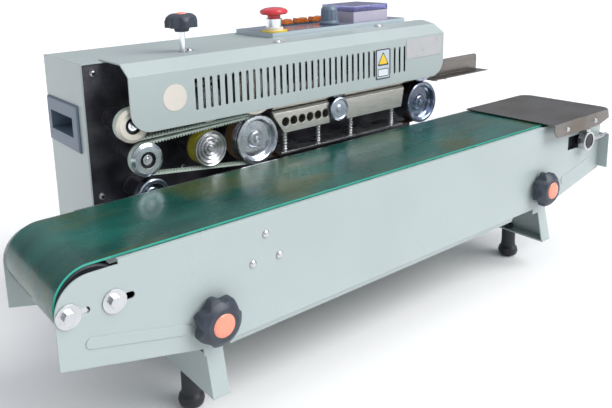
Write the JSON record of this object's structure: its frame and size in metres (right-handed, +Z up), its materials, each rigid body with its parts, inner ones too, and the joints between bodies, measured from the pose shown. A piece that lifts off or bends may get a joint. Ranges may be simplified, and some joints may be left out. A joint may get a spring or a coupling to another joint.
{
  "type": "continuous band sealer",
  "caption": "Tabletop band sealer: slotted guard and sealing wheels on a tall rear case, beside a green belt conveyor on slotted legs with star clamping knobs.",
  "frame": {"origin": "on the floor under the middle of the whole machine", "axes": "+X along the conveyor from its discharge end to its infeed end, +Y from the operator to the case, +Z up"},
  "size_m": [0.84, 0.352, 0.3878],
  "materials": {
    "paint": "pale grey-green smooth paint",
    "black_paint": "black paint with a fine mottle",
    "stainless": "brushed stainless sheet",
    "steel": "zinc-plated steel",
    "chrome": "polished plating",
    "aluminium": "machined aluminium",
    "belt": "dark green coated belting",
    "guide_belt": "pale grey-green toothed belt",
    "band": "brown coated glass cloth",
    "silicone": "olive yellow silicone",
    "black_plastic": "moulded black plastic",
    "grey_plastic": "moulded blue-grey plastic",
    "pale_plastic": "moulded pale grey plastic",
    "clear_cover": "tinted clear cover",
    "red_plastic": "glossy red",
    "amber_plastic": "translucent amber",
    "cap_plastic": "salmon orange",
    "yellow_plate": "plain yellow",
    "pale_plate": "plain pale film",
    "rubber": "black rubber",
    "motor_paint": "dark casting"
  },
  "bodies": {
    "base": {"case_shell": "paint", "case_back_cover": "paint", "carrying_handles": "grey_plastic", "mounting_panel": "black_paint", "bearing_bosses": "black_paint", "case_screws": "steel", "guard_hood": "paint", "guard_plates": "pale_plate", "legs": "paint", "rubber_feet": "rubber", "guide_belts": "guide_belt", "seal_bands": "band", "cooling_blocks": "aluminium", "heating_blocks": "aluminium", "block_springs": "steel", "support_bars": "steel", "infeed_guide": "stainless", "gear_motor": "motor_paint", "fan_frame": "black_plastic", "fan_guard": "chrome", "speed_board": "pale_plastic", "power_inlet": "black_plastic", "control_lid": "paint", "stop_base": "chrome", "stop_plate": "yellow_plate", "rocker_frames": "black_plastic", "dial_body": "pale_plastic", "dial_cover": "clear_cover"},
    "conveyor": {"conveyor_near_panel": "paint", "conveyor_far_panel": "paint", "belt_bed": "steel", "cross_ties": "steel", "conveyor_fasteners": "steel", "roller_mounts": "steel", "conveyor_belt": "belt", "infeed_tray": "stainless"},
    "left_roller": {"left_roller": "rubber"},
    "right_roller": {"right_roller": "rubber"},
    "left_clamp_knob": {"left_clamp_knob": "black_plastic"},
    "right_clamp_knob": {"right_clamp_knob": "black_plastic"},
    "lower_drive": {"lower_drive_wheel": "chrome"},
    "upper_drive": {"upper_drive_wheel": "chrome"},
    "lower_driven": {"lower_driven_wheel": "chrome"},
    "upper_driven": {"upper_driven_wheel": "chrome"},
    "lower_guide": {"lower_guide_pulley": "aluminium"},
    "upper_guide": {"upper_guide_pulley": "aluminium"},
    "takeoff": {"takeoff_pulley": "chrome"},
    "lower_press": {"lower_press_hub": "chrome", "lower_press_tyre": "silicone"},
    "upper_press": {"upper_press_wheel": "steel"},
    "lower_nip": {"lower_nip_wheel": "chrome"},
    "upper_nip": {"upper_nip_wheel": "chrome"},
    "fan": {"fan_rotor": "black_plastic"},
    "pressure_screw": {"pressure_rod": "chrome"},
    "pressure_knob": {"pressure_knob": "black_plastic"},
    "stop_head": {"stop_head": "red_plastic"},
    "rocker_1": {"rocker_1": "amber_plastic"},
    "rocker_2": {"rocker_2": "amber_plastic"},
    "rocker_3": {"rocker_3": "amber_plastic"},
    "speed_knob": {"speed_knob": "grey_plastic"}
  },
  "joints": [
    {"name": "conveyor_height", "type": "slide", "parent": "base", "child": "conveyor", "axis": [0, 0, 1], "range_m": [-0.007, 0.03]},
    {"name": "left_clamp_turn", "type": "hinge", "parent": "conveyor", "child": "left_clamp_knob", "pos_m": [-0.275, -0.153, 0.1215], "axis": [0, 1, 0], "range_deg": [0, 360]},
    {"name": "right_clamp_turn", "type": "hinge", "parent": "conveyor", "child": "right_clamp_knob", "pos_m": [0.262, -0.153, 0.1215], "axis": [0, 1, 0], "range_deg": [0, 360]},
    {"name": "left_roller_spin", "type": "hinge", "parent": "conveyor", "child": "left_roller", "pos_m": [-0.386, 0.012, 0.1749], "axis": [0, 1, 0], "continuous": true},
    {"name": "right_roller_spin", "type": "hinge", "parent": "conveyor", "child": "right_roller", "pos_m": [0.366, 0.012, 0.1702], "axis": [0, 1, 0], "continuous": true},
    {"name": "lower_drive_spin", "type": "hinge", "parent": "base", "child": "lower_drive", "pos_m": [-0.1051, 0.012, 0.2293], "axis": [0, 1, 0], "continuous": true},
    {"name": "upper_drive_spin", "type": "hinge", "parent": "base", "child": "upper_drive", "pos_m": [-0.1051, 0.012, 0.2911], "axis": [0, 1, 0], "continuous": true},
    {"name": "lower_driven_spin", "type": "hinge", "parent": "base", "child": "lower_driven", "pos_m": [0.1943, 0.012, 0.2293], "axis": [0, 1, 0], "continuous": true},
    {"name": "upper_driven_spin", "type": "hinge", "parent": "base", "child": "upper_driven", "pos_m": [0.1943, 0.012, 0.2911], "axis": [0, 1, 0], "continuous": true},
    {"name": "lower_guide_spin", "type": "hinge", "parent": "base", "child": "lower_guide", "pos_m": [-0.2539, 0.012, 0.2347], "axis": [0, 1, 0], "continuous": true},
    {"name": "upper_guide_spin", "type": "hinge", "parent": "base", "child": "upper_guide", "pos_m": [-0.268, 0.012, 0.2757], "axis": [0, 1, 0], "continuous": true},
    {"name": "takeoff_spin", "type": "hinge", "parent": "base", "child": "takeoff", "pos_m": [-0.2488, 0.012, 0.1922], "axis": [0, 1, 0], "continuous": true},
    {"name": "lower_press_spin", "type": "hinge", "parent": "base", "child": "lower_press", "pos_m": [-0.1723, 0.012, 0.2314], "axis": [0, 1, 0], "continuous": true},
    {"name": "upper_press_spin", "type": "hinge", "parent": "base", "child": "upper_press", "pos_m": [-0.1723, 0.012, 0.2842], "axis": [0, 1, 0], "continuous": true},
    {"name": "lower_nip_spin", "type": "hinge", "parent": "base", "child": "lower_nip", "pos_m": [0.0273, 0.012, 0.2468], "axis": [0, 1, 0], "continuous": true},
    {"name": "upper_nip_spin", "type": "hinge", "parent": "base", "child": "upper_nip", "pos_m": [0.0273, 0.012, 0.2736], "axis": [0, 1, 0], "continuous": true},
    {"name": "fan_spin", "type": "hinge", "parent": "base", "child": "fan", "pos_m": [0.1, 0.012, 0.2], "axis": [0, 1, 0], "continuous": true},
    {"name": "pressure_slide", "type": "slide", "parent": "base", "child": "pressure_screw", "axis": [0, 0, 1], "range_m": [-0.0025, 0.0025]},
    {"name": "pressure_turn", "type": "hinge", "parent": "pressure_screw", "child": "pressure_knob", "pos_m": [-0.1775, 0.045, 0.37], "axis": [0, 0, 1], "range_deg": [-720, 720]},
    {"name": "stop_press", "type": "slide", "parent": "base", "child": "stop_head", "axis": [0, 0, 1], "range_m": [-0.004, 0], "stiffness_N_per_m": 400},
    {"name": "rocker_1_tilt", "type": "hinge", "parent": "base", "child": "rocker_1", "pos_m": [0.048, 0.138, 0.3492], "axis": [0, 1, 0], "range_deg": [-9, 9]},
    {"name": "rocker_2_tilt", "type": "hinge", "parent": "base", "child": "rocker_2", "pos_m": [0.0775, 0.138, 0.3492], "axis": [0, 1, 0], "range_deg": [-9, 9]},
    {"name": "rocker_3_tilt", "type": "hinge", "parent": "base", "child": "rocker_3", "pos_m": [0.1075, 0.138, 0.3492], "axis": [0, 1, 0], "range_deg": [-9, 9]},
    {"name": "speed_turn", "type": "hinge", "parent": "base", "child": "speed_knob", "pos_m": [0.0965, 0.094, 0.35], "axis": [0, 0, 1], "range_deg": [-150, 150]}
  ],
  "couplings": [
    {"joint": "right_roller_spin", "follows": "left_roller_spin", "ratio": 0.8733},
    {"joint": "lower_drive_spin", "follows": "left_roller_spin", "ratio": 1.0571},
    {"joint": "upper_drive_spin", "follows": "left_roller_spin", "ratio": -1.0571},
    {"joint": "lower_driven_spin", "follows": "left_roller_spin", "ratio": 1.0571},
    {"joint": "upper_driven_spin", "follows": "left_roller_spin", "ratio": -1.0571},
    {"joint": "lower_guide_spin", "follows": "left_roller_spin", "ratio": 1.7866},
    {"joint": "upper_guide_spin", "follows": "left_roller_spin", "ratio": -1.7866},
    {"joint": "takeoff_spin", "follows": "left_roller_spin", "ratio": 1.6531},
    {"joint": "lower_press_spin", "follows": "left_roller_spin", "ratio": 1.528},
    {"joint": "upper_press_spin", "follows": "left_roller_spin", "ratio": -1.528},
    {"joint": "lower_nip_spin", "follows": "left_roller_spin", "ratio": 2.6129},
    {"joint": "upper_nip_spin", "follows": "left_roller_spin", "ratio": -2.6129},
    {"joint": "pressure_slide", "follows": "pressure_turn", "m_per_rad": 0.0001989}
  ]
}
